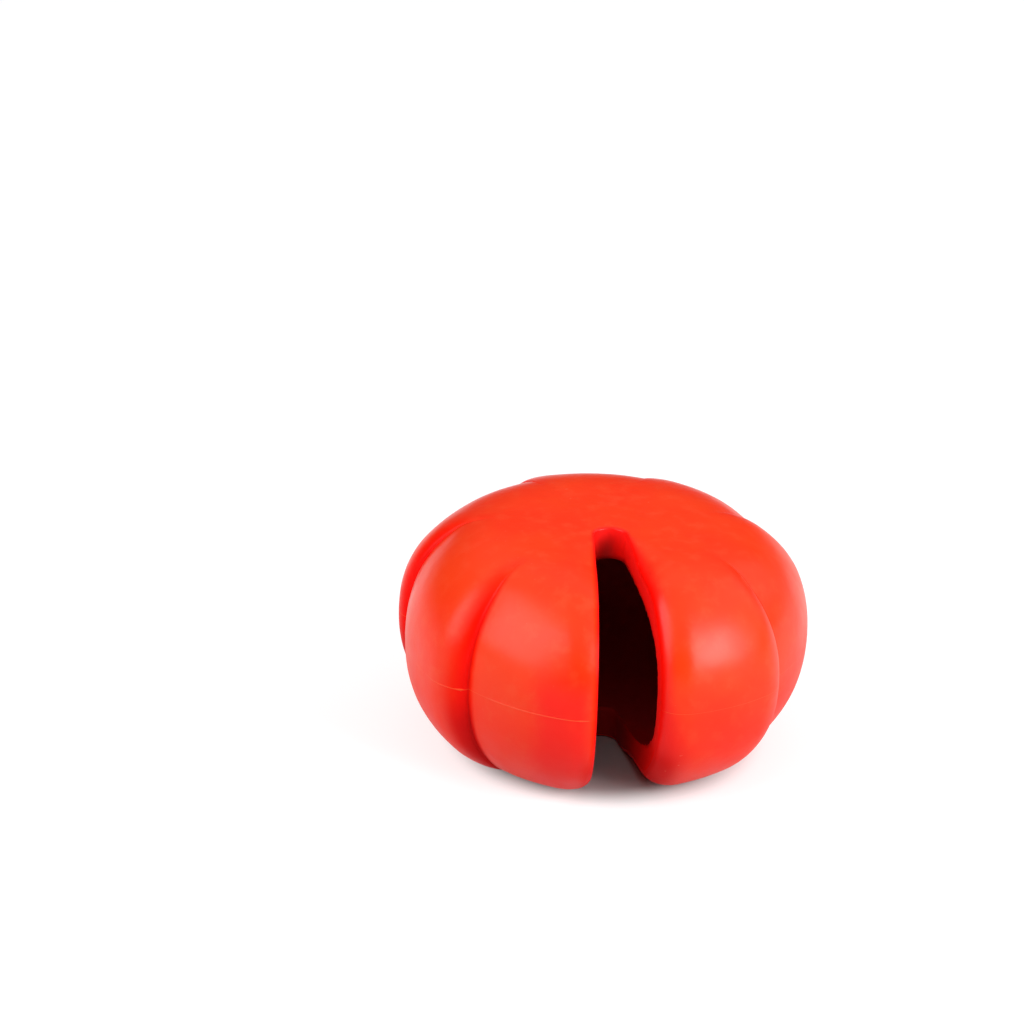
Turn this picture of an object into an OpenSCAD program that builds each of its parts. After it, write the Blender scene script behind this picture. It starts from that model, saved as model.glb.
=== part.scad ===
// Treat dispensing chew toy: a hollow, lobed rubber ball with flat crowns and a wedge-shaped mouth.
// Sizes are in millimetres and angles in degrees. The ball's axis is along Z, its mouth opens
// towards -Y and it rests with its lower crown on z = 0. The lobes make the outline lopsided, so
// the ball is moved along X until the origin is below the middle of it.

/* [Ball] */
// Diameter at the seam, halfway between the top and the bottom of the lobes' steps
ball_d = 70; // [64:1:90]
// Height from the lower flat crown to the upper one
ball_h = 40.2; // [36:0.2:46]
// Height that the round sides would reach without the flat crowns
round_h = 49.6; // [48:0.2:60]
// Squareness of the sides' profile, where 2 is an ellipse
side_square_ratio = 2.25; // [2:0.05:3]
// Height over which the round sides blend into the flat crowns
crown_blend_h = 3; // [0.5:0.1:4]

/* [Lobes] */
// Number of lobes round the ball
lobe_count = 7; // [5:1:9]
// Height of the step from one lobe to the next, at the seam
lobe_step = 2.6; // [0.5:0.1:4]
// Width of the rounded lip at a step, along the seam
lobe_lip_w = 6; // [1.5:0.1:7]
// Angle from the mouth to the nearest step
lobe_turn = 1; // [-4:0.1:4]
// Distance from the axis at which the steps begin to rise
lobe_start_r = 17; // [14:0.5:22]
// Distance from the axis at which the steps have their full height
lobe_full_r = 31; // [25:0.5:34]

/* [Mouth] */
// Width of the mouth at its round inner end
mouth_end_w = 5.7; // [4.5:0.1:8]
// Distance of the round end's centre in front of the ball's axis
mouth_end_y = 4; // [1:0.1:6]
// Angle between the two mouth walls
mouth_angle = 11.2; // [4:0.1:20]
// Reach along the skin of the mouth walls' outer edges
mouth_edge_w = 5.5; // [1:0.1:6]
// Depth down the right wall of its edge, which is rounded
right_edge_h = 3.2; // [0.5:0.1:4]
// Depth down the left wall of its edge, which is a shallow roll with a crisp corner
left_edge_h = 1.3; // [0.5:0.1:4]
// Size of the rounded edge at the mouth's inner end, as a share of the right edge
mouth_end_share = 0.15; // [0.1:0.05:1]
// Length along a wall over which the end's edge grows into the wall's edge
mouth_edge_run = 12; // [4:0.5:16]

/* [Treat chamber] */
// Diameter of the hollow at the seam
chamber_d = 57.6; // [44:0.2:58]
// Height of the hollow on the axis
chamber_h = 28.4; // [20:0.2:30]
// Squareness of the hollow's side profile, where 2 is an ellipse
chamber_square_ratio = 2.9; // [2:0.1:4]

/* [Spine] */
// Distance that the flexing strip's sides stand in from the mouth's end width
spine_inset = 0.7; // [0.4:0.05:1.2]

/* [Hidden] */

// Colours of the rubber, with the flexing strips a little darker
jaw_colour = [0.99, 0.30, 0.18];
spine_colour = [0.93, 0.24, 0.14];

// Number of facets round a mouth edge, out to the lobes and from there to the seam
edge_steps = 5;
top_steps = 3;
side_steps = 11;
// Number of facets across a lobe, its lip, the lobe beside the mouth and the one behind it
lobe_steps = 6;
lip_steps = 3;
front_steps = 5;
back_steps = 2;
// Number of facets across the flexing strip
spine_steps = 6;

// Thinnest wall, in the creases or at the crowns, which limits the depth of the mouth's edges
side_wall = (ball_d - lobe_step - chamber_d) / 2;
crown_wall = (ball_h - chamber_h) / 2;
edge_wall_share = 0.8;
deepest_edge = edge_wall_share * min(side_wall, crown_wall);
right_h = min(right_edge_h, deepest_edge);
left_h = min(left_edge_h, deepest_edge);

// The mouth in plan
end_r = mouth_end_w / 2;
flare = mouth_angle / 2;
spine_half = end_r - spine_inset;
end_edge_w = mouth_edge_w * mouth_end_share;
end_edge_h = right_h * mouth_end_share;
rounded_r = end_r + end_edge_w;

// Lobes as angles round the axis, and the steps on each side of the mouth
pitch = 360 / lobe_count;
lip_angle = lobe_lip_w / (ball_d / 2) * 180 / PI;
side_lobes = ceil(180 / pitch) - 1;

// Height of the seam above the lower crown
seam_z = ball_h / 2;

// A sheet is [radius at the seam, half height of its round sides, squareness, lobe step,
// half height to its flat crown, whether the mouth's edge is taken off]. The hollow has no flat crown.
skin = [ball_d / 2, round_h / 2, side_square_ratio, lobe_step, seam_z, true];
chamber = [chamber_d / 2, chamber_h / 2, chamber_square_ratio, 0, chamber_h, false];

// X of the middle of the ball's outline, seen from above
outline_x = [for (angle = [0:359]) ring_radius(skin, angle, skin[0]) * sin(angle)];
middle_x = (max(outline_x) + min(outline_x)) / 2;

function clamp01(t) = min(1, max(0, t));
function ease(a, b, t) = let (s = clamp01((t - a) / (b - a))) s * s * (3 - 2 * s);

// Height of the lobes at an angle from the mouth, 0 in a crease and 1 on a lip
function lobe(angle) =
    let (turns = (angle - lobe_turn) / pitch,
         s = turns - floor(turns),
         lip = lip_angle / pitch,
         t = (1 - s) / lip)
    t > 1 ? s / (1 - lip) : sqrt(t * (2 - t));

// Distance of a ring from its centre, where r is the ring's radius without lobes
function ring_radius(sheet, angle, r) =
    r * (1 + sheet[3] / sheet[0] * (lobe(angle) - 0.5) * ease(lobe_start_r, lobe_full_r, r));

// Y of a ring's centre: the mouth's end for the smallest rings, the axis from the lobes out
function ring_centre(r) = -mouth_end_y * (1 - clamp01((r - rounded_r) / (lobe_start_r - rounded_r)));

// Height above the seam of a sheet's round side, at a share of its radius
function side_height(sheet, share) = sheet[1] * pow(max(0, 1 - pow(share, sheet[2])), 1 / sheet[2]);

// How near a round side of height z is to the flat crown, from 0 where they don't blend to 1
function crown_near(sheet, z) = max(0, 1 - abs(z - sheet[4]) / crown_blend_h);

// Height of a sheet above the seam, where its round side has height z
function profile(sheet, z) = min(z, sheet[4]) - pow(crown_near(sheet, z), 2) * crown_blend_h / 4;

// Part of a round side's slope that is left where it blends into the crown
function slope_left(sheet, z) =
    let (near = crown_near(sheet, z))
    z < sheet[4] ? 1 - near / 2 : near / 2;

// Distance of a plan point ahead of the mouth's round end, along the mouth wall
function slot_ahead(p) = abs(p.x) * sin(flare) - (p.y + mouth_end_y) * cos(flare);

// Distance of a plan point from the mouth
function slot_gap(p) =
    let (x = abs(p.x), y = p.y + mouth_end_y)
    (slot_ahead(p) > 0 ? x * cos(flare) + y * sin(flare) : norm([x, y])) - end_r;

// How far the mouth's edge has fallen at a plan point: rounded at the end and on the right, a roll on the left
function edge_drop(p) =
    let (grown = ease(0, mouth_edge_run, slot_ahead(p)),
         w = end_edge_w + (mouth_edge_w - end_edge_w) * grown,
         h = end_edge_h + ((p.x < 0 ? left_h : right_h) - end_edge_h) * grown,
         rolled = p.x < 0 ? grown : 0,
         t = clamp01(1 - slot_gap(p) / w))
    h * ((1 - rolled) * (1 - sqrt(1 - t * t)) + rolled * t * t);

// Direction along the mouth wall in which the skin faces outwards, where its round side has height z
function wall_normal(sheet, p, z, share) =
    let (lean = max(0, slot_ahead(p)) / norm([p.x, p.y + mouth_end_y]),
         out = lean * slope_left(sheet, z) * pow(share, sheet[2] - 1) / sheet[0],
         up = pow(z / sheet[1], sheet[2] - 1) / sheet[1],
         n = [sign(p.x) * out * sin(flare), -out * cos(flare), up])
    n / norm(n);

// Point of a sheet on ring r, with the mouth's edge taken off the skin
function sheet_point(sheet, angle, r) =
    let (rho = ring_radius(sheet, angle, r),
         p = [rho * sin(angle), ring_centre(r) - rho * cos(angle)],
         share = norm(p) * r / (rho * sheet[0]),
         z = r >= sheet[0] ? 0 : side_height(sheet, share),
         drop = sheet[5] ? edge_drop(p) : 0)
    [p.x, p.y, profile(sheet, z)] - (drop > 0 ? drop * wall_normal(sheet, p, z, share) : [0, 0, 0]);

// Distances from the mouth of the rows of points across a rounded edge of width w
function edge_rows(w) = [for (i = [0:edge_steps]) w * (1 - cos(90 * i / edge_steps))];

// Radii of a sheet's rings, from the mouth's round end to the seam
function ring_radii(sheet) =
    let (top_angle = asin(lobe_start_r / sheet[0]), side_angle = 90 - top_angle)
    concat([for (d = edge_rows(end_edge_w)) end_r + d],
           [for (i = [1:top_steps]) rounded_r + (lobe_start_r - rounded_r) * i / top_steps],
           [for (i = [1:side_steps]) sheet[0] * sin(top_angle + side_angle * i / side_steps)]);

// Angle from the mouth at which a ring is at distance d from the mouth wall.
// Side is 1 to the right of the mouth and -1 to its left.
function wall_angle(sheet, side, r, d, guess = 20, tries = 4) =
    let (reach = end_r + d - (mouth_end_y + ring_centre(r)) * sin(flare),
         angle = flare + asin(min(1, reach / ring_radius(sheet, side * guess, r))))
    tries == 0 ? angle : wall_angle(sheet, side, r, d, angle, tries - 1);

// Angle from the mouth at which a ring meets the side of the flexing strip
function spine_angle(sheet, side, r, guess = 180, tries = 4) =
    let (angle = 180 - asin(spine_half / ring_radius(sheet, side * guess, r)))
    tries == 0 ? angle : spine_angle(sheet, side, r, angle, tries - 1);

// Angles of the points across the lips and lobes on one side of the ball
function lobe_angles(side) =
    [for (k = [1:side_lobes])
        let (start = k * pitch + side * lobe_turn - (side > 0 ? lip_angle : 0),
             end = start + lip_angle,
             between = k < side_lobes ? lobe_steps - 1 : 0,
             gap = (pitch - lip_angle) / lobe_steps,
             bends = [for (i = [0:lip_steps]) 90 * i / lip_steps])
        each concat([for (bend = bends) start + lip_angle * (side > 0 ? sin(bend) : 1 - cos(bend))],
                    [for (i = [1:1:between]) end + gap * i])];

// Angles of the points of a jaw's ring, from the mouth wall back to the flexing strip.
// They are evenly spaced round the mouth's end, and follow its walls and the lobes further out.
function jaw_angles(sheet, side, r) =
    let (edge = [for (d = edge_rows(mouth_edge_w)) wall_angle(sheet, side, r, d)],
         lobes = lobe_angles(side),
         front = edge[edge_steps],
         rear = lobes[len(lobes) - 1],
         last = spine_angle(sheet, side, r),
         placed = concat(edge,
                         [for (i = [1:front_steps - 1]) front + (lobes[0] - front) * i / front_steps],
                         lobes,
                         [for (i = [1:back_steps]) rear + (last - rear) * i / back_steps]),
         n = len(placed) - 1,
         share = ease(rounded_r, lobe_start_r, r))
    [for (i = [0:n]) (1 - share) * (edge[0] + (last - edge[0]) * i / n) + share * placed[i]];

// Angles of the points of the flexing strip's ring, from its right side to its left side
function spine_angles(sheet, r) =
    let (right = spine_angle(sheet, 1, r), left = 360 - spine_angle(sheet, -1, r))
    [for (i = [0:spine_steps]) right + (left - right) * i / spine_steps];

// Angles of a piece's ring, anticlockwise from the mouth as seen from above
function right_jaw_angles(sheet, r) = jaw_angles(sheet, 1, r);
function left_jaw_angles(sheet, r) =
    let (angles = jaw_angles(sheet, -1, r), n = len(angles) - 1)
    [for (i = [0:n]) 360 - angles[n - i]];

// Two triangles for the quad a, b, c, d
function quad(a, b, c, d) = [[a, b, c], [a, c, d]];

// Upper half of a piece: its skin and its chamber wall, joined round all four borders
module shell(angles) {
    outer = ring_radii(skin);
    inner = ring_radii(chamber);
    rows = len(outer);
    cols = len(angles(skin, outer[0]));
    top = rows - 1;
    side = cols - 1;
    at = function (sheet, row, col) (sheet * rows + row) * cols + col;
    points = concat([for (r = outer) for (a = angles(skin, r)) sheet_point(skin, a, r)],
                    [for (r = inner) for (a = angles(chamber, r)) sheet_point(chamber, a, r)]);
    faces = concat(
        [for (k = [0:top - 1]) for (i = [0:side - 1])
            each quad(at(0, k, i), at(0, k, i + 1), at(0, k + 1, i + 1), at(0, k + 1, i))],
        [for (k = [0:top - 1]) for (i = [0:side - 1])
            each quad(at(1, k + 1, i), at(1, k + 1, i + 1), at(1, k, i + 1), at(1, k, i))],
        [for (i = [0:side - 1])
            each quad(at(0, 0, i + 1), at(0, 0, i), at(1, 0, i), at(1, 0, i + 1))],
        [for (i = [0:side - 1])
            each quad(at(0, top, i), at(0, top, i + 1), at(1, top, i + 1), at(1, top, i))],
        [for (k = [0:top - 1])
            each quad(at(0, k, 0), at(0, k + 1, 0), at(1, k + 1, 0), at(1, k, 0))],
        [for (k = [0:top - 1])
            each quad(at(0, k + 1, side), at(0, k, side), at(1, k, side), at(1, k + 1, side))]);
    polyhedron(points, faces, convexity = 6);
}

// Upper half of a piece, from the seam up
module upper_half(angles) {
    translate([-middle_x, 0, seam_z]) shell(angles);
}

// Lower half of a piece, from the seam down to the crown that it rests on
module lower_half(angles) {
    translate([-middle_x, 0, seam_z]) mirror([0, 0, 1]) shell(angles);
}

// Jaw to the left of the mouth, above the seam
module upper_left_jaw() {
    color(jaw_colour) upper_half(function (sheet, r) left_jaw_angles(sheet, r));
}

// Jaw to the left of the mouth, below the seam
module lower_left_jaw() {
    color(jaw_colour) lower_half(function (sheet, r) left_jaw_angles(sheet, r));
}

// Jaw to the right of the mouth, above the seam
module upper_right_jaw() {
    color(jaw_colour) upper_half(function (sheet, r) right_jaw_angles(sheet, r));
}

// Jaw to the right of the mouth, below the seam
module lower_right_jaw() {
    color(jaw_colour) lower_half(function (sheet, r) right_jaw_angles(sheet, r));
}

// Flexing strip behind the mouth, above the seam
module upper_spine() {
    color(spine_colour) upper_half(function (sheet, r) spine_angles(sheet, r));
}

// Flexing strip behind the mouth, below the seam
module lower_spine() {
    color(spine_colour) lower_half(function (sheet, r) spine_angles(sheet, r));
}

upper_left_jaw();
lower_left_jaw();
upper_right_jaw();
lower_right_jaw();
upper_spine();
lower_spine();
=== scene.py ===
import math

import bmesh
import bpy
import numpy as np
from mathutils import Matrix, Vector


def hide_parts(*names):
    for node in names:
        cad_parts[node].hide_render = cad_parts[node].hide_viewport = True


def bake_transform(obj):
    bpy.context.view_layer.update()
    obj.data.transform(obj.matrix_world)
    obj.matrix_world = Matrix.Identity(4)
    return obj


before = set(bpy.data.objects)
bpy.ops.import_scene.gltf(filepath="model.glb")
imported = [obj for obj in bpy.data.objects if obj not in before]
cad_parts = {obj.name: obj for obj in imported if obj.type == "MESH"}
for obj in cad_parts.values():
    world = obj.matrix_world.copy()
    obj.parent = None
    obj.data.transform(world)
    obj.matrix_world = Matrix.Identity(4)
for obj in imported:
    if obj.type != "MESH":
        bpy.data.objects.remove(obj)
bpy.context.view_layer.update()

MM = 0.001

# The ball, its lobes, mouth and hollow, with the same sizes in millimetres as the solids
BALL_R = 35.0
SEAM_Z = 20.1
ROUND_HALF_H = 24.8
SIDE_SQUARE = 2.25
CROWN_BLEND_H = 3.0
LOBES = 7
LOBE_STEP = 2.6
LOBE_LIP_W = 6.0
LOBE_TURN = math.radians(1.0)
LOBE_START_R = 17.0
LOBE_FULL_R = 31.0
END_R = 2.85
END_Y = 4.0
FLARE = math.radians(5.6)
EDGE_W = 5.5
RIGHT_EDGE_H = 3.2
LEFT_EDGE_H = 1.3
END_SHARE = 0.15
EDGE_RUN = 12.0
CHAMBER_R = 28.8
CHAMBER_HALF_H = 14.2
CHAMBER_SQUARE = 2.9

END_EDGE_W = EDGE_W * END_SHARE
END_EDGE_H = RIGHT_EDGE_H * END_SHARE
ROUNDED_R = END_R + END_EDGE_W
PITCH = 2 * math.pi / LOBES
LIP_ANGLE = LOBE_LIP_W / BALL_R

# How finely the surfaces are divided
EDGE_STEPS = 12
TOP_STEPS = 8
SIDE_STEPS = 40
LIP_STEPS = 10
LOBE_STEPS = 20
FRONT_STEPS = 14
WALL_STEPS = 6
CREASE_GAP = 0.15 / BALL_R
SEAM_RING_H = 0.05
# First guess and number of tries for the angle of a mouth wall
WALL_GUESS = 0.35
WALL_TRIES = 6

# The moulding line: a fine bead, for which the skin stands in a little, so that it stays in the solids' box
BEAD_H = 0.05
BEAD_HALF_W = 0.12
BEAD_SINK = 0.05
BEAD_FAINT = 0.25
BEAD_SECTION = ((-1.0, 0.0), (-0.55, 0.7), (0.0, 1.0), (0.55, 0.7), (1.0, 0.0))
BEAD_KEEL = (0.0, -0.5)
BEAD_END_FROM = 0.8
BEAD_END_TO = 2.0
SKIN_ROOM = 0.16

# Where the line grows clear and faint again, from the left wall, and the place and size of its nibs
BEAD_BREAK = 18.8
BEAD_CLEAR = ((1.0, 2.0, BEAD_BREAK, BEAD_BREAK + 1), (25.5, 26.5, 30.0, 34.0))
BEAD_NIBS = ((2.6, 0.8), (BEAD_BREAK, 1.0), (26.5, 2.0))
NIB_W = 0.35

# Slight unevenness of the skin, the left jaw's corner that is worn round near the floor, and torn flash
# along the hollow's edge on the mouth's right wall
UNEVEN_H = 0.06
WORN_W = 2.2
WORN_H = 1.5
FLASH_H = 0.25
FLASH_REACH = 0.5
FLASH_FROM_END = 1.5
FLASH_FULL = 5.0

# Which part of the moulding a face belongs to, and the bounds between those numbers
SKIN = 0.0
WALL = 0.5
HOLLOW = 1.0
WALL_BOUND = (0.2, 0.3)
HOLLOW_BOUND = (0.7, 0.8)


class Sheet:
    """One smooth surface of the shell: its skin or the wall of its hollow."""

    def __init__(self, radius, half_height, square, step, crown, rounded, worn=0.0):
        self.radius = radius
        self.half_height = half_height
        self.square = square
        self.step = step
        self.crown = crown
        self.rounded = rounded
        self.worn = worn

    def side_height(self, share):
        """Height of the round side above the seam, at a share of the radius."""
        return self.half_height * np.maximum(0, 1 - share ** self.square) ** (1 / self.square)

    def crown_near(self, z):
        """How near a round side of height z is to the flat crown, from 0 where they don't blend to 1."""
        return np.maximum(0, 1 - np.abs(z - self.crown) / CROWN_BLEND_H)

    def profile(self, z):
        """Height of the sheet where its round side has height z."""
        return np.minimum(z, self.crown) - self.crown_near(z) ** 2 * CROWN_BLEND_H / 4

    def slope_left(self, z):
        """Part of the round side's slope that is left where it blends into the crown."""
        near = self.crown_near(z)
        return np.where(z < self.crown, 1 - near / 2, near / 2)

    def ring_radius(self, angle, r):
        rise = self.step / self.radius * (lobe(angle) - 0.5) * ease(LOBE_START_R, LOBE_FULL_R, r)
        return r * (1 + rise)


skin = Sheet(BALL_R, ROUND_HALF_H, SIDE_SQUARE, LOBE_STEP, SEAM_Z, True)
worn_skin = Sheet(BALL_R, ROUND_HALF_H, SIDE_SQUARE, LOBE_STEP, SEAM_Z, True, WORN_H)
chamber = Sheet(CHAMBER_R, CHAMBER_HALF_H, CHAMBER_SQUARE, 0.0, 2 * CHAMBER_HALF_H, False)


def ease(a, b, t):
    s = np.clip((t - a) / (b - a), 0, 1)
    return s * s * (3 - 2 * s)


def lobe(angle):
    """Height of the lobes at an angle from the mouth: 0 in a crease and 1 on a lip."""
    s = np.mod((angle - LOBE_TURN) / PITCH, 1)
    lip = LIP_ANGLE / PITCH
    t = np.clip((1 - s) / lip, 0, 1)
    return np.where(s < 1 - lip, s / (1 - lip), np.sqrt(t * (2 - t)))


def ring_centre(r):
    """Y of a ring's centre: the mouth's end for the smallest rings, the axis from the lobes out."""
    return -END_Y * (1 - np.clip((r - ROUNDED_R) / (LOBE_START_R - ROUNDED_R), 0, 1))


whole_turn = np.radians(np.arange(360))
outline_x = skin.ring_radius(whole_turn, BALL_R) * np.sin(whole_turn)
MIDDLE_X = float(outline_x.max() + outline_x.min()) / 2


def unevenness(x, y, z):
    """How far the moulded skin has sunk at a point, from 0 to 1."""
    broad = np.sin(0.33 * x + 0.21 * y + 0.9) * np.sin(0.29 * y - 0.27 * z + 2.1)
    fine = np.sin(0.62 * z + 0.35 * x + 0.4) * np.sin(0.53 * x - 0.44 * y)
    return 0.5 + (broad + 0.5 * fine) / 3


def sheet_points(sheet, angle, r):
    """Points of a sheet's upper half on ring r, with the seam at z = 0 and the mouth's edge rounded."""
    rho = sheet.ring_radius(angle, r)
    x = rho * np.sin(angle)
    y = ring_centre(r) - rho * np.cos(angle)
    flat = np.hypot(x, y)
    share = flat * r / (rho * sheet.radius)
    side_z = sheet.side_height(share) if r < sheet.radius else np.zeros_like(x)
    z = sheet.profile(side_z)
    ahead = np.abs(x) * math.sin(FLARE) - (y + END_Y) * math.cos(FLARE)
    from_end = np.hypot(x, y + END_Y)
    beside = np.abs(x) * math.cos(FLARE) + (y + END_Y) * math.sin(FLARE)
    gap = np.where(ahead > 0, beside, from_end) - END_R
    if sheet.rounded:
        grown = ease(0, EDGE_RUN, ahead)
        width = END_EDGE_W + (EDGE_W - END_EDGE_W) * grown
        depth = END_EDGE_H + (np.where(x < 0, LEFT_EDGE_H, RIGHT_EDGE_H) - END_EDGE_H) * grown
        rolled = np.where(x < 0, grown, 0)
        inside = np.clip(1 - gap / width, 0, 1)
        drop = depth * ((1 - rolled) * (1 - np.sqrt(1 - inside ** 2)) + rolled * inside ** 2)
        lean = np.maximum(0, ahead) / from_end
        out = lean * sheet.slope_left(side_z) * share ** (sheet.square - 1) / sheet.radius
        up = (side_z / sheet.half_height) ** (sheet.square - 1) / sheet.half_height
        size = np.maximum(np.hypot(out, up), 1e-9)
        corner = np.clip(1 - gap / WORN_W, 0, 1)
        drop = drop + sheet.worn * rolled * up / size * (1 - np.sqrt(1 - corner ** 2))
        x = x - drop * np.sign(x) * out * math.sin(FLARE) / size
        y = y + drop * out * math.cos(FLARE) / size
        z = z - drop * up / size
        sink = UNEVEN_H * unevenness(x, y, z) / np.sqrt(x ** 2 + y ** 2 + z ** 2)
        inset = 1 - sink - SKIN_ROOM / BALL_R
        x, y, z = x * inset, y * inset, z * (1 - sink)
    return np.stack([x, y, z], axis=-1)


def edge_rows(width):
    """Distances from the mouth of the rows of points across a rounded edge."""
    return width * (1 - np.cos(np.linspace(0, math.pi / 2, EDGE_STEPS + 1)))


def wall_angle(sheet, side, r, d):
    """Angle from the mouth at which ring r is at distance d from the wall on that side of the mouth."""
    reach = END_R + d - (END_Y + ring_centre(r)) * math.sin(FLARE)
    angle = WALL_GUESS
    for _ in range(WALL_TRIES):
        angle = FLARE + math.asin(min(1.0, reach / float(sheet.ring_radius(side * angle, r))))
    return angle


def between(a, b, steps):
    """Values from a to b, without a itself."""
    return list(np.linspace(a, b, steps + 1)[1:])


def ring_angles(sheet, r):
    """Angles of a ring's points, from the right wall of the mouth round the back to the left wall."""
    right = [wall_angle(sheet, 1, r, d) for d in edge_rows(EDGE_W)]
    left = [2 * math.pi - wall_angle(sheet, -1, r, d) for d in edge_rows(EDGE_W)[::-1]]
    bends = np.sin(np.linspace(0, math.pi / 2, LIP_STEPS + 1)[1:])
    placed = list(right)
    for k in range(1, LOBES):
        crease = k * PITCH + LOBE_TURN
        steps = FRONT_STEPS if k == 1 else LOBE_STEPS
        placed += between(placed[-1], crease - LIP_ANGLE, steps)
        placed += list(crease - LIP_ANGLE * (1 - bends))
        placed.append(crease + CREASE_GAP)
    placed += between(placed[-1], left[0], FRONT_STEPS) + left[1:]
    even = np.linspace(placed[0], placed[-1], len(placed))
    share = ease(ROUNDED_R, LOBE_START_R, r)
    return (1 - share) * even + share * np.array(placed)


def ring_radii(sheet):
    """Radii of a sheet's rings, from the mouth's round end to the seam, with one ring close to the seam."""
    last = math.acos((LOBE_START_R / sheet.radius) ** (sheet.square / 2))
    side = sheet.radius * np.cos(np.linspace(last, 0, SIDE_STEPS + 1)[1:]) ** (2 / sheet.square)
    near = sheet.radius * (1 - (SEAM_RING_H / sheet.half_height) ** sheet.square) ** (1 / sheet.square)
    top = between(ROUNDED_R, LOBE_START_R, TOP_STEPS)
    return np.concatenate([END_R + edge_rows(END_EDGE_W), top, side[:-1], [near, sheet.radius]])


def sheet_grid(sheet):
    return np.array([sheet_points(sheet, ring_angles(sheet, r), r) for r in ring_radii(sheet)])


def ruled(a, b, steps):
    """Grid of straight lines from the points of border a to those of border b."""
    t = np.linspace(0, 1, steps + 1)[:, None, None]
    return a[None] * (1 - t) + b[None] * t


def fray(grid, lower):
    """Frays the hollow's edge on the mouth's right wall, where thin flash tore off the moulding."""
    edge = grid[:, 0]
    steps = np.linalg.norm(np.diff(edge[::-1], axis=0), axis=1)
    from_seam = np.concatenate([[0], np.cumsum(steps)])[::-1]
    s = -from_seam if lower else from_seam
    tears = np.sin(0.9 * s + 0.6) * np.sin(2.3 * s + 1.7) + 0.6 * np.sin(5.1 * s + 0.3) * np.sin(1.3 * s)
    depth = FLASH_H * np.clip(tears, 0, 1) * ease(FLASH_FROM_END, FLASH_FULL, from_seam[0] - from_seam)
    middle = np.array([edge[-1, 0] / 2, edge[-1, 1] / 2, 0])
    inward = middle - edge
    inward /= np.linalg.norm(inward, axis=1)[:, None]
    for column, away in enumerate(edge_rows(EDGE_W)):
        grid[:, column] += inward * (depth * math.exp(-away / FLASH_REACH))[:, None]


def grids_to_mesh(name, grids, inner, sharp_borders):
    """One closed, smooth mesh from grids that share their borders.

    Inner has a number for each grid, which its faces keep. A sharp border is a grid's number and its row.
    """
    bm = bmesh.new()
    inside = bm.faces.layers.float.new("inner")
    corners = []
    for grid, level in zip(grids, inner):
        rows, cols = grid.shape[:2]
        verts = [[bm.verts.new(grid[i, j] * MM) for j in range(cols)] for i in range(rows)]
        corners.append(verts)
        for i in range(rows - 1):
            for j in range(cols - 1):
                face = bm.faces.new((verts[i][j], verts[i][j + 1], verts[i + 1][j + 1], verts[i + 1][j]))
                face[inside] = level
    for index, row in sharp_borders:
        line = corners[index][row]
        for a, b in zip(line, line[1:]):
            bm.edges.get((a, b)).smooth = False
    bmesh.ops.remove_doubles(bm, verts=bm.verts, dist=1e-7)
    bmesh.ops.recalc_face_normals(bm, faces=bm.faces)
    for face in bm.faces:
        face.smooth = True
    mesh = bpy.data.meshes.new(name)
    bm.to_mesh(mesh)
    bm.free()
    piece = bpy.data.objects.new(name, mesh)
    bpy.context.scene.collection.objects.link(piece)
    return piece


def half_shell(name, lower):
    """Upper or lower half of the moulding: skin, hollow, mouth walls and seam face."""
    outer = sheet_grid(worn_skin if lower else skin)
    inner = sheet_grid(chamber)
    fray(inner, lower)
    flip = np.array([1, 1, -1 if lower else 1])
    lift = np.array([-MIDDLE_X, 0, SEAM_Z])
    outer = outer * flip + lift
    inner = inner * flip + lift
    grids = [
        outer,
        inner,
        ruled(outer[0], inner[0], WALL_STEPS),
        ruled(outer[:, 0], inner[:, 0], WALL_STEPS),
        ruled(outer[:, -1], inner[:, -1], WALL_STEPS),
        ruled(outer[-1], inner[-1], 1),
    ]
    sharp = [(2, -1), (3, -1), (4, 0), (4, -1), (5, 0), (5, -1)]
    piece = grids_to_mesh(name, grids, [SKIN, HOLLOW, WALL, WALL, WALL, WALL], sharp)
    paint(piece.data)
    return piece


# How far the rubber's orange stays from the mouth, with pure red painted between as shade: round its end and
# on the left, and along the right wall
WARM_FROM_END = 0.8
WARM_FROM_WALL = 2.4
WARM_FROM_LOW_WALL = 7.0
LOW_WALL_FROM = -4.0
LOW_WALL_TO = 8.0
# Share of the orange that is lost down the lower half, as painted shade, which is also more matt
LOW_FADE = 0.5
LOW_FROM = -8.0
LOW_TO = 10.0
# How far a crease's painted shade, in pure red, reaches onto the lobe beside it and onto the lip over it
CREASE_REACH = 1.0
LIP_REACH = 5.5
# Share of that painted shade in the crease beside the right jaw, where more light falls
LIT_CREASE_SHARE = 0.3
# How far down the creases and the mouth's edges turn a deeper red, as painted shade, and how far from the
# mouth
DEEP_FROM = 0.0
DEEP_TO = 8.0
EDGE_DEEP_FROM = 5.0
EDGE_DEEP_TO = 13.0
EDGE_DEEP_REACH = 6.0
LEFT_DEEP_REACH = 3.5
# The redder front of the left jaw, painted shade where it faces the unlit front: how far from the mouth it
# starts, thins and ends, how high, and how strong
FRONT_FROM = 3.0
FRONT_MID = 8.0
FRONT_TO = 12.0
FRONT_TOP = 11.0
FRONT_FULL = 2.0
FRONT_FADE = 0.8
# How far the left jaw's crisp corner is worn matt
CORNER_FROM = 0.2
CORNER_TO = 1.4
# How far from the mouth's end its walls are in shade, above the seam and below it, how far below the crown
# the shade is full, how wide it is, how far left of the middle, and how strong
SHADE_REACH = 7.0
LOW_SHADE_REACH = 34.0
SHADE_DEPTH = 5.0
SHADE_CORE = 0.4
SHADE_SHIFT = 0.6
SHADE = 0.75
LOW_SHADE = 0.9


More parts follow.
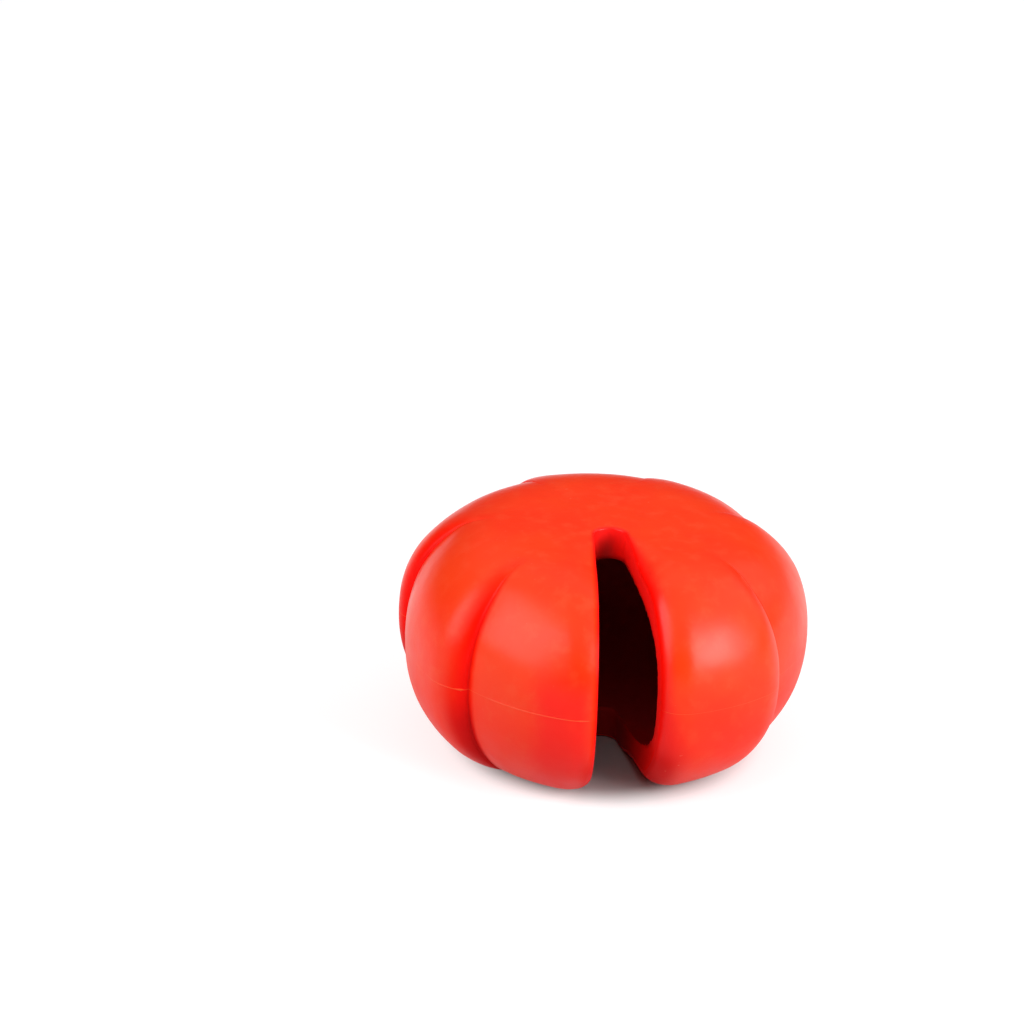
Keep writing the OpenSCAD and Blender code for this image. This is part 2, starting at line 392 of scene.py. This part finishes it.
def paint(mesh):
    """Writes the rubber's masks at each point: how orange it is painted as lit, how matt, how deep a painted
    shade it has, how far its walls are painted shaded, and how low it is.
    """
    points = np.empty(len(mesh.vertices) * 3)
    mesh.vertices.foreach_get("co", points)
    x, y, z = (points.reshape(-1, 3) / MM + np.array([MIDDLE_X, 0, -SEAM_Z])).T
    ahead = np.abs(x) * math.sin(FLARE) - (y + END_Y) * math.cos(FLARE)
    beside = np.abs(x) * math.cos(FLARE) + (y + END_Y) * math.sin(FLARE)
    gap = np.where(ahead > 0, beside, np.hypot(x, y + END_Y)) - END_R
    low = ease(LOW_FROM, LOW_TO, -z)
    along = ease(0, EDGE_RUN, ahead)
    low_wall = ease(LOW_WALL_FROM, LOW_WALL_TO, -z)
    from_wall = WARM_FROM_WALL + (WARM_FROM_LOW_WALL - WARM_FROM_WALL) * low_wall
    reach = WARM_FROM_END + (from_wall - WARM_FROM_END) * along * (x > 0)
    turns = np.mod((np.arctan2(x, -y) - LOBE_TURN) / PITCH, 1)
    after = turns * PITCH * BALL_R
    before = (1 - turns) * PITCH * BALL_R
    # Painted shade in each crease and on the lip over it
    crease = np.maximum(1 - ease(0, CREASE_REACH, after), 1 - ease(0, LIP_REACH, before))
    crease = crease * ease(LOBE_START_R, LOBE_FULL_R, np.hypot(x, y)) * ease(0, WARM_FROM_WALL, gap)
    # Less painted shade in the crease beside the right jaw, which is more lit
    crease = crease * np.where((x > 0) & (y < 0), LIT_CREASE_SHARE, 1)
    # Orange where the rubber is painted as lit; pure red, as painted shade, by the mouth, in the creases,
    # down the lower half and on the left jaw's front
    lit_orange = ease(0, 1, gap / reach) * (1 - LOW_FADE * low) * (1 - crease)
    left = x < 0
    deep_reach = np.where(left, LEFT_DEEP_REACH, EDGE_DEEP_REACH)
    # Painted shade at the mouth's low edges
    edge_shade = along * (1 - ease(0, 1, gap / deep_reach)) * ease(EDGE_DEEP_FROM, EDGE_DEEP_TO, -z)
    # Painted shade on the left jaw's front
    front = left * along * ease(0, FRONT_FROM, gap) * (1 - ease(FRONT_MID, FRONT_TO, gap))
    lit_orange = lit_orange * (1 - FRONT_FADE * front * ease(-FRONT_TOP, -FRONT_FULL, -z))
    # How deep the painted shade is, in the creases further down and at the mouth's low edges
    deep_shade = np.maximum(crease * ease(DEEP_FROM, DEEP_TO, -z), edge_shade)
    shade = SHADE * (1 - ease(SHADE_CORE, END_R, np.abs(x + SHADE_SHIFT))) * ease(0, SHADE_DEPTH, SEAM_Z - z)
    shade = shade * (1 - ease(0, SHADE_REACH, ahead))
    low_shade = LOW_SHADE * (1 - ease(0, LOW_SHADE_REACH, ahead)) * ease(0, LOW_TO, -z)
    corner = left * along * (1 - ease(CORNER_FROM, CORNER_TO, gap))
    matt = np.maximum(np.maximum(crease, corner), edge_shade)
    shade = np.maximum(shade, low_shade)
    masks = {"lit_orange": lit_orange, "matt": matt, "deep_shade": deep_shade, "shade": shade, "low": low}
    for name, mask in masks.items():
        mesh.attributes.new(name, "FLOAT", "POINT").data.foreach_set("value", mask)


def seam_bead(name):
    """The fine moulding line round the seam, which comes and goes, and ends before the mouth."""
    line = sheet_points(skin, ring_angles(skin, BALL_R), BALL_R)[:, :2] - np.array([MIDDLE_X, 0])
    along = np.gradient(line, axis=0)
    along /= np.linalg.norm(along, axis=1)[:, None]
    out = np.stack([along[:, 1], -along[:, 0]], axis=1)
    walked = np.concatenate([[0], np.cumsum(np.linalg.norm(np.diff(line, axis=0), axis=1))])
    left = walked[-1] - walked
    clear = np.max([ease(a, b, left) * (1 - ease(c, d, left)) for a, b, c, d in BEAD_CLEAR], axis=0)
    nib = sum(size * np.exp(-((left - place) / NIB_W) ** 2) for place, size in BEAD_NIBS)
    ends = ease(BEAD_END_FROM, BEAD_END_TO, np.minimum(walked, left))
    height = BEAD_H * (BEAD_FAINT + (1 - BEAD_FAINT) * clear + nib) * ends
    half_w = BEAD_HALF_W * (1 + nib)
    rows = []
    for across, rise in BEAD_SECTION + (BEAD_KEEL,) + BEAD_SECTION[:1]:
        reach = height * rise - BEAD_SINK * (1 - max(0.0, rise))
        rows.append(np.column_stack([line + out * reach[:, None], SEAM_Z + across * half_w]))
    piece = grids_to_mesh(name, [np.array(rows)], [SKIN], [])
    bm = bmesh.new()
    bm.from_mesh(piece.data)
    bmesh.ops.holes_fill(bm, edges=bm.edges)
    bmesh.ops.recalc_face_normals(bm, faces=bm.faces)
    bm.to_mesh(piece.data)
    bm.free()
    paint(piece.data)
    # The line keeps its orange all along, with none of the painted shade
    piece.data.attributes["lit_orange"].data.foreach_set("value", np.ones(len(piece.data.vertices)))
    return piece


class Nodes:
    """A material's nodes, added and joined in one line each."""

    def __init__(self, name):
        self.material = bpy.data.materials.new(name)
        self.material.use_nodes = True
        self.tree = self.material.node_tree
        self.shader = self.tree.nodes["Principled BSDF"]

    def add(self, kind, inputs=None, **settings):
        node = self.tree.nodes.new("ShaderNode" + kind)
        for key, value in settings.items():
            setattr(node, key, value)
        for key, value in (inputs or {}).items():
            if isinstance(value, bpy.types.NodeSocket):
                self.tree.links.new(value, node.inputs[key])
            else:
                node.inputs[key].default_value = value
        return node

    def link(self, value, key):
        self.tree.links.new(value, self.shader.inputs[key])

    def ramp(self, value, low, high, to_low=0.0, to_high=1.0):
        """To_low where the value is below low, to_high where it is above high, and smooth between them."""
        spread = {"Value": value, "From Min": low, "From Max": high, "To Min": to_low, "To Max": to_high}
        return self.add("MapRange", spread, interpolation_type="SMOOTHSTEP").outputs["Result"]

    def noise(self, vector, scale, detail=2.0, roughness=0.5):
        inputs = {"Vector": vector, "Scale": scale, "Detail": detail, "Roughness": roughness}
        return self.add("TexNoise", inputs).outputs["Fac"]

    def attribute(self, name):
        return self.add("Attribute", attribute_name=name).outputs["Fac"]

    def mix(self, factor, a, b):
        node = self.add("Mix", data_type="RGBA")
        for key, value in ((0, factor), (6, a), (7, b)):
            if isinstance(value, bpy.types.NodeSocket):
                self.tree.links.new(value, node.inputs[key])
            else:
                node.inputs[key].default_value = value
        return node.outputs[2]

    def math(self, operation, a, b=0.0):
        return self.add("Math", {0: a, 1: b}, operation=operation).outputs[0]


# The rubber is orange where painted as lit and pure red where painted shaded and on its walls; the crease red
# and the hollow red are painted shade
PURE_RED = (0.95, 0.004, 0.001, 1)
ORANGE_RED = (0.95, 0.044, 0.003, 1)
CREASE_SHADE_RED = (0.68, 0.003, 0.003, 1)
HOLLOW_SHADE_RED = (0.33, 0.003, 0.002, 1)
LINE_ORANGE = (0.96, 0.075, 0.02, 1)
BLOOM = (0.95, 0.075, 0.02, 1)
DUST = (0.95, 0.30, 0.20, 1)

# How fine each pattern of the rubber is
CLOUD_SCALE = 70
BLOOM_SCALE = 330
SPECK_SCALE = 1500
PATCH_SCALE = 90
SATIN_SCALE = 160
GRAIN_SCALE = 1300
WAVE_SCALE = 230
# How strong the patterns are, and how satin or matt the rubber is
CLOUD_LEAST = 0.72
BLOOM_SHARE = 0.35
DUST_SHARE = 0.25
SATIN_LEAST = 0.27
SATIN_MOST = 0.38
LOW_ROUGH = 0.2
WALL_ROUGH = 0.3
SHINE = 0.28
MATT_SHINE = 0.08
GRAIN_SHARE = 0.25
BUMP_STRENGTH = 0.10
BUMP_H = 0.0005


def rubber(name, orange):
    """Moulded natural rubber: satin, cloudy, with a little dust and a soft grain, and with painted light and
    shade in its colour.
    """
    n = Nodes(name)
    where = n.add("TexCoord").outputs["Object"]
    clouds = n.ramp(n.noise(where, CLOUD_SCALE, 3, 0.55), 0.35, 0.68, CLOUD_LEAST, 1.0)
    # Orange where painted as lit, pure red where painted shaded, clouded at random
    colour = n.mix(n.math("MULTIPLY", n.attribute("lit_orange"), clouds), PURE_RED, orange)
    bloom = n.ramp(n.noise(where, BLOOM_SCALE, 3, 0.6), 0.48, 0.72, 0.0, BLOOM_SHARE)
    colour = n.mix(n.math("MULTIPLY", bloom, n.attribute("lit_orange")), colour, BLOOM)
    # Painted shade in the creases and at the mouth's low edges, in a deeper red
    colour = n.mix(n.attribute("deep_shade"), colour, CREASE_SHADE_RED)
    specks = n.ramp(n.noise(where, SPECK_SCALE, 1, 0.4), 0.73, 0.78)
    patches = n.ramp(n.noise(where, PATCH_SCALE, 2), 0.55, 0.68)
    colour = n.mix(n.math("MULTIPLY", n.math("MULTIPLY", specks, patches), DUST_SHARE), colour, DUST)
    inner = n.attribute("inner")
    # Painted shade on the mouth's walls towards its end and down the lower half, and a dark painted shade
    # over the whole hollow
    wall = n.mix(n.attribute("shade"), PURE_RED, HOLLOW_SHADE_RED)
    colour = n.mix(n.ramp(inner, *WALL_BOUND), colour, wall)
    colour = n.mix(n.ramp(inner, *HOLLOW_BOUND), colour, HOLLOW_SHADE_RED)
    n.link(colour, "Base Color")
    satin = n.ramp(n.noise(where, SATIN_SCALE, 4, 0.6), 0.2, 0.8, SATIN_LEAST, SATIN_MOST)
    satin = n.math("ADD", satin, n.math("MULTIPLY", n.attribute("low"), LOW_ROUGH))
    n.link(n.math("ADD", satin, n.ramp(inner, *WALL_BOUND, 0.0, WALL_ROUGH)), "Roughness")
    n.link(n.ramp(n.attribute("matt"), 0.0, 0.8, SHINE, MATT_SHINE), "Specular IOR Level")
    grain = n.noise(where, GRAIN_SCALE, 2, 0.5)
    waves = n.noise(where, WAVE_SCALE, 2, 0.5)
    height = n.math("ADD", n.math("MULTIPLY", grain, GRAIN_SHARE), waves)
    bump = n.add("Bump", {"Height": height, "Strength": BUMP_STRENGTH, "Distance": BUMP_H})
    n.link(bump.outputs["Normal"], "Normal")
    return n.material


# The floor's tone, how much it glows towards white near the toy, where this painted light lightens the toy's
# shadow, and far from it, and the distances between
FLOOR_TONE = 0.50
NEAR_LIFT = 0.64
FAR_LIFT = 0.55
LIFT_START = 0.020
LIFT_FULL = 0.029
LIFT_FAR = 0.120


def floor_material():
    """Plain white floor, brighter to the eye further from the toy, with painted light just round the toy that
    lightens its shadow, and with the toy's shadow on it.
    """
    n = Nodes("floor_white")
    n.shader.inputs["Base Color"].default_value = (FLOOR_TONE, FLOOR_TONE, FLOOR_TONE, 1)
    n.shader.inputs["Roughness"].default_value = 0.9
    n.shader.inputs["Specular IOR Level"].default_value = 0.1
    rays = n.add("LightPath").outputs
    seen = n.math("MAXIMUM", rays["Is Camera Ray"], rays["Is Glossy Ray"])
    seen = n.math("MAXIMUM", seen, rays["Is Transmission Ray"])
    away = n.add("VectorMath", {0: n.add("TexCoord").outputs["Object"]}, operation="LENGTH").outputs["Value"]
    n.shader.inputs["Emission Color"].default_value = (1, 1, 1, 1)
    lift = n.math("MINIMUM", n.ramp(away, LIFT_START, LIFT_FULL, 0.0, NEAR_LIFT),
                  n.ramp(away, LIFT_FULL, LIFT_FAR, NEAR_LIFT, FAR_LIFT))
    n.link(n.math("MULTIPLY", seen, lift), "Emission Strength")
    return n.material


red = rubber("red_rubber", ORANGE_RED)
line_red = rubber("line_rubber", LINE_ORANGE)


def dress(piece, material):
    """Gives a piece its rubber and bakes its place into its points."""
    piece.data.materials.append(material)
    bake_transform(piece)


# The two half shells and the line between them
upper_shell = half_shell("upper_shell", lower=False)
lower_shell = half_shell("lower_shell", lower=True)
bead = seam_bead("seam_line")
dress(upper_shell, red)
dress(lower_shell, red)
dress(bead, line_red)
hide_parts("upper_left_jaw", "upper_right_jaw", "upper_spine")
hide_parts("lower_left_jaw", "lower_right_jaw", "lower_spine")

# Floor
FLOOR_HALF = 2.5
floor_mesh = bpy.data.meshes.new("floor")
floor_corners = [(x * FLOOR_HALF, y * FLOOR_HALF, 0) for x, y in ((-1, -1), (1, -1), (1, 1), (-1, 1))]
floor_mesh.from_pydata(floor_corners, [], [(0, 1, 2, 3)])
floor_mesh.materials.append(floor_material())
floor = bpy.data.objects.new("floor", floor_mesh)
bpy.context.scene.collection.objects.link(floor)

# Camera at the photo's angle, with the toy below and to the right of the middle of the view
VIEW_AZIMUTH = math.radians(-9.35)
VIEW_ELEVATION = math.radians(25.75)
VIEW_ROLL = math.radians(2.2)
VIEW_DISTANCE = 0.9
VIEW_LENS = 183.2
TOY_RIGHT = 0.01576
TOY_DOWN = 0.02025


def direction(azimuth, elevation):
    """Unit vector from the toy: azimuth 0 is out of the mouth and 90 degrees is to its right."""
    flat = math.cos(elevation)
    return Vector((math.sin(azimuth) * flat, -math.cos(azimuth) * flat, math.sin(elevation)))


centre = Vector((-MIDDLE_X * MM, 0, SEAM_Z * MM))
back = direction(VIEW_AZIMUTH, VIEW_ELEVATION)
roll = Matrix.Rotation(VIEW_ROLL, 3, "Z")
turn = back.to_track_quat("Z", "Y").to_matrix() @ roll
aim = centre - turn @ Vector((TOY_RIGHT, 0, 0)) + turn @ Vector((0, TOY_DOWN, 0))
sight = (centre + back * VIEW_DISTANCE - aim).normalized()
look = sight.to_track_quat("Z", "Y").to_matrix() @ roll
camera_data = bpy.data.cameras.new("camera")
camera_data.lens = VIEW_LENS
camera_data.sensor_width = 36.0
camera_data.clip_start = 0.01
camera = bpy.data.objects.new("camera", camera_data)
bpy.context.scene.collection.objects.link(camera)
camera.matrix_world = Matrix.Translation(centre + back * VIEW_DISTANCE) @ look.to_4x4()
bpy.context.scene.camera = camera


LIGHT_DISTANCE = 1.1


def softbox(name, azimuth, elevation, size, power):
    """A rectangular soft light that faces the toy."""
    data = bpy.data.lights.new(name, "AREA")
    data.shape = "RECTANGLE"
    data.size, data.size_y = size
    data.energy = power
    light = bpy.data.objects.new(name, data)
    bpy.context.scene.collection.objects.link(light)
    way = direction(math.radians(azimuth), math.radians(elevation))
    light.location = centre + way * LIGHT_DISTANCE
    light.rotation_euler = way.to_track_quat("Z", "Y").to_euler()


softbox("left_softbox", -73, 30, (0.95, 0.85), 9.0)
softbox("right_softbox", 48, 23, (0.62, 0.6), 10.8)
softbox("right_fill", 96, 32, (1.2, 0.9), 2.4)

# A soft dome of light, bright overhead and dim near the horizon
DOME_LOW = 0.08
DOME_HIGH = 0.70
DOME_FROM = 0.35
DOME_TO = 0.90
world = bpy.data.worlds.new("studio")
bpy.context.scene.world = world
world.use_nodes = True
dome = world.node_tree
way_up = dome.nodes.new("ShaderNodeTexCoord")
split = dome.nodes.new("ShaderNodeSeparateXYZ")
level = dome.nodes.new("ShaderNodeMapRange")
level.interpolation_type = "SMOOTHSTEP"
levels = {"From Min": DOME_FROM, "From Max": DOME_TO, "To Min": DOME_LOW, "To Max": DOME_HIGH}
for key, value in levels.items():
    level.inputs[key].default_value = value
dome.links.new(way_up.outputs["Generated"], split.inputs[0])
dome.links.new(split.outputs["Z"], level.inputs["Value"])
dome.links.new(level.outputs["Result"], dome.nodes["Background"].inputs["Strength"])
dome.nodes["Background"].inputs["Color"].default_value = (1, 1, 1, 1)
bpy.context.scene.view_settings.view_transform = "Standard"
